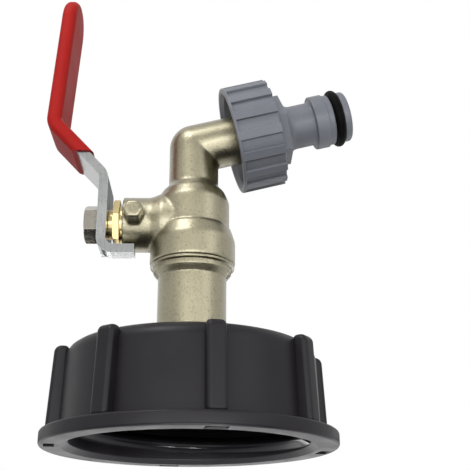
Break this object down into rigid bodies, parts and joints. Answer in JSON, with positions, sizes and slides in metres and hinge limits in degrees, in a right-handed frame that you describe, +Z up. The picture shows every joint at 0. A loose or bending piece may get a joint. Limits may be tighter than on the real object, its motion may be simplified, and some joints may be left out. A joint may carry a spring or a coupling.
{
  "type": "intermediate bulk container tap",
  "caption": "Ball valve tap with a lever, an elbow spout and a hose connector, standing on a black screw cap that fits the coarse outlet thread of a bulk container.",
  "frame": {"origin": "centre of the cap's mouth, in the plane of its flange's underside", "axes": "+Z up the valve axis away from the tank, +X towards the hose connector, -X towards the lever"},
  "size_m": [0.0858, 0.075, 0.1302],
  "materials": {
    "black_plastic": "moulded black plastic, fine grain",
    "black_rubber": "smooth black rubber",
    "red_fibre": "pressed fibre",
    "plain_brass": "turned brass",
    "nickel_brass": "satin nickel plate on cast brass",
    "white_plastic": "white bearing plastic",
    "chromed_ball": "chrome plated brass",
    "zinc_steel": "zinc plated steel strip",
    "red_vinyl": "dipped red vinyl",
    "grey_plastic": "moulded grey plastic"
  },
  "bodies": {
    "tap": {"tank_cap": "black_plastic", "cap_gasket": "black_rubber", "lock_washer": "red_fibre", "lock_nut": "plain_brass", "inlet_tail": "nickel_brass", "valve_body": "nickel_brass", "seat_lower": "white_plastic", "seat_upper": "white_plastic", "thrust_washer": "white_plastic", "stem_packing": "white_plastic", "gland_nut": "plain_brass", "hose_connector": "grey_plastic", "connector_washer": "black_rubber", "connector_oring": "black_rubber"},
    "lever": {"lever": "zinc_steel", "lever_sleeve": "red_vinyl", "lever_nut": "nickel_brass", "stem": "plain_brass", "ball": "chromed_ball"}
  },
  "joints": [
    {"name": "lever_turn", "type": "hinge", "parent": "tap", "child": "lever", "pos_m": [-0.0242, 0, 0.0602], "axis": [1, 0, 0], "range_deg": [0, 90]}
  ]
}
